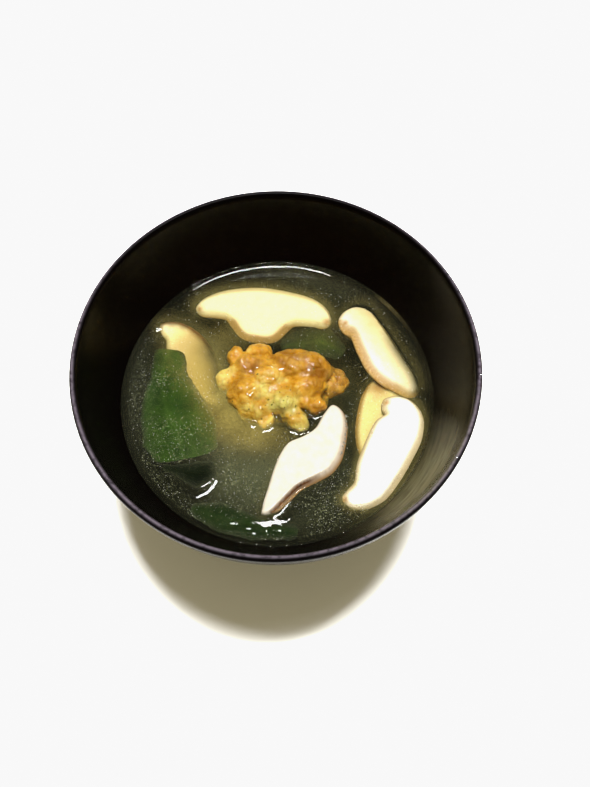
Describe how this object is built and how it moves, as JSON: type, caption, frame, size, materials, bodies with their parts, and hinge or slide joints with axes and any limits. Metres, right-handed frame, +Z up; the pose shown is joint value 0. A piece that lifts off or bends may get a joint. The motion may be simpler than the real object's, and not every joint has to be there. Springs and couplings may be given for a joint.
{
  "type": "bowl of dumpling soup",
  "caption": "Small dark lacquer soup bowl on a foot ring, filled with clear broth, a craggy fried dumpling, mushroom slices and cooked leaves",
  "frame": {"origin": "centre of the underside of the foot ring, on the surface that the bowl stands on", "axes": "+Z up along the bowl's axis, -Y towards the viewer of the picture, +X to the viewer's right"},
  "size_m": [0.1198, 0.1198, 0.064],
  "materials": {
    "lacquer": "black-brown lacquer with a purple cast, glossy",
    "broth": "slightly cloudy clear broth, wet surface",
    "fried_batter": "soaked fried batter, glossy where wet",
    "mushroom": "smooth wet cut flesh with brown skin and tan gills",
    "cooked_leaf": "soft wet leaf"
  },
  "bodies": {
    "root": {"bowl": "lacquer", "broth": "broth", "dumpling": "fried_batter", "mushroom_slice_back": "mushroom", "mushroom_slice_right_back": "mushroom", "mushroom_slice_right_front": "mushroom", "mushroom_slice_front": "mushroom", "mushroom_slice_left": "mushroom", "leaf_left": "cooked_leaf", "leaf_left_fold": "cooked_leaf", "leaf_front": "cooked_leaf"}
  },
  "joints": []
}
